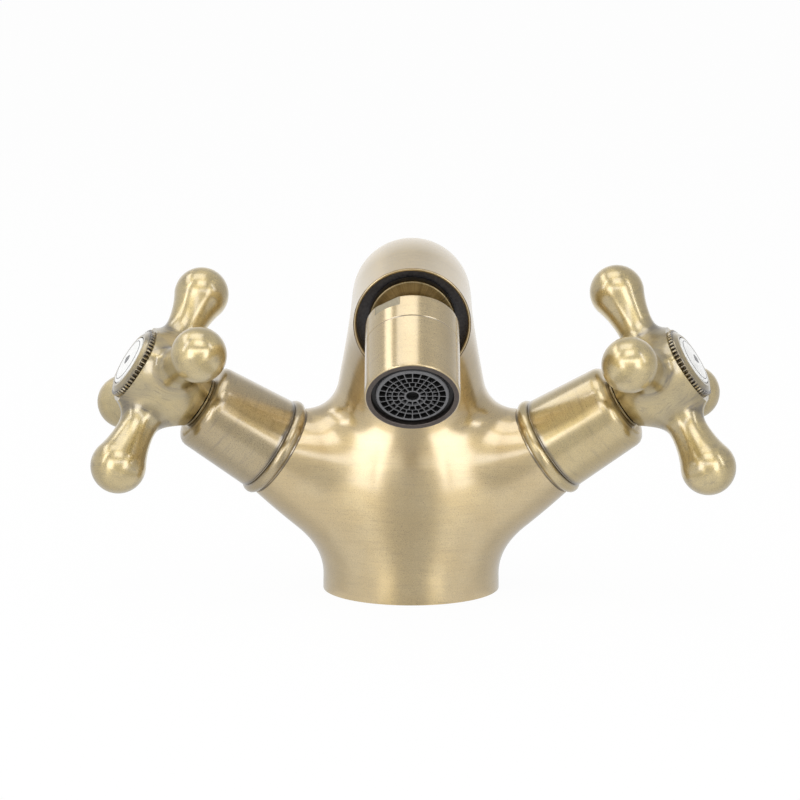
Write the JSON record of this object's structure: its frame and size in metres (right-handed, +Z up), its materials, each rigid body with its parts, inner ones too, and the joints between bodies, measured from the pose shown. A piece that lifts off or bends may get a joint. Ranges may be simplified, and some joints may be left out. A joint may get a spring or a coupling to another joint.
{
  "type": "cross handle tap",
  "caption": "Deck-mounted mixer tap with cross handles on sloping valve arms, a curved spout and a swivelling ball-joint aerator.",
  "frame": {"origin": "centre of the round base, on the surface that the tap stands on", "axes": "+X from the hot handle to the cold handle, -Y the way the spout points, +Z up"},
  "size_m": [0.1778, 0.1317, 0.1044],
  "materials": {
    "antique_brass": "brushed antique brass, satin lacquer, darker in the recesses",
    "plain_brass": "turned brass, bare",
    "rubber": "moulded, matte",
    "ceramic": null,
    "porcelain": null,
    "white_plastic": "moulded, satin",
    "grey_plastic": "moulded, satin",
    "stainless_steel": "bright stainless steel"
  },
  "bodies": {
    "tap": {"body_casting": "antique_brass", "base_gasket": "rubber", "hot_seat_seal": "rubber", "hot_fixed_disc": "ceramic", "hot_cartridge_body": "plain_brass", "hot_flange_washer": "rubber", "hot_bonnet": "antique_brass", "hot_gland_nut": "plain_brass", "cold_seat_seal": "rubber", "cold_fixed_disc": "ceramic", "cold_cartridge_body": "plain_brass", "cold_flange_washer": "rubber", "cold_bonnet": "antique_brass", "cold_gland_nut": "plain_brass", "ball_nipple": "plain_brass", "mouth_flange": "antique_brass", "mouth_washer": "rubber"},
    "hot_handle": {"hot_turning_disc": "ceramic", "hot_spindle": "plain_brass", "hot_spindle_rings": "rubber", "hot_spindle_clip": "stainless_steel", "hot_cross_handle": "antique_brass", "hot_spline_bush": "white_plastic", "hot_handle_screw": "stainless_steel", "hot_index_cap": "antique_brass", "hot_index_disc": "porcelain"},
    "cold_handle": {"cold_turning_disc": "ceramic", "cold_spindle": "plain_brass", "cold_spindle_rings": "rubber", "cold_spindle_clip": "stainless_steel", "cold_cross_handle": "antique_brass", "cold_spline_bush": "white_plastic", "cold_handle_screw": "stainless_steel", "cold_index_cap": "antique_brass", "cold_index_disc": "porcelain"},
    "swivel_turn": {"ball_ring": "rubber"},
    "swivel_tilt": {"ball_seat": "white_plastic"},
    "aerator_housing": {"ring_nut": "antique_brass", "aerator_sleeve": "antique_brass", "aerator_seal": "rubber", "aerator_cage": "grey_plastic", "aerator_screens": "stainless_steel", "aerator_insert": "grey_plastic"}
  },
  "joints": [
    {"name": "hot_quarter_turn", "type": "hinge", "parent": "tap", "child": "hot_handle", "pos_m": [0, 0, 0.0168], "axis": [-0.8214, -0.1936, 0.5366], "range_deg": [0, 90]},
    {"name": "cold_quarter_turn", "type": "hinge", "parent": "tap", "child": "cold_handle", "pos_m": [0, 0, 0.0168], "axis": [-0.8214, 0.1936, -0.5366], "range_deg": [0, 90]},
    {"name": "aerator_turn", "type": "hinge", "parent": "tap", "child": "swivel_turn", "pos_m": [0, -0.08247, 0.08362], "axis": [0, -0.9806, -0.1959], "continuous": true},
    {"name": "aerator_tilt", "type": "hinge", "parent": "swivel_turn", "child": "swivel_tilt", "pos_m": [0, -0.08247, 0.08362], "axis": [-1, 0, 0], "range_deg": [0, 55]},
    {"name": "aerator_spin", "type": "hinge", "parent": "swivel_tilt", "child": "aerator_housing", "pos_m": [0, -0.08247, 0.08362], "axis": [0, -0.7793, -0.6266], "continuous": true}
  ]
}
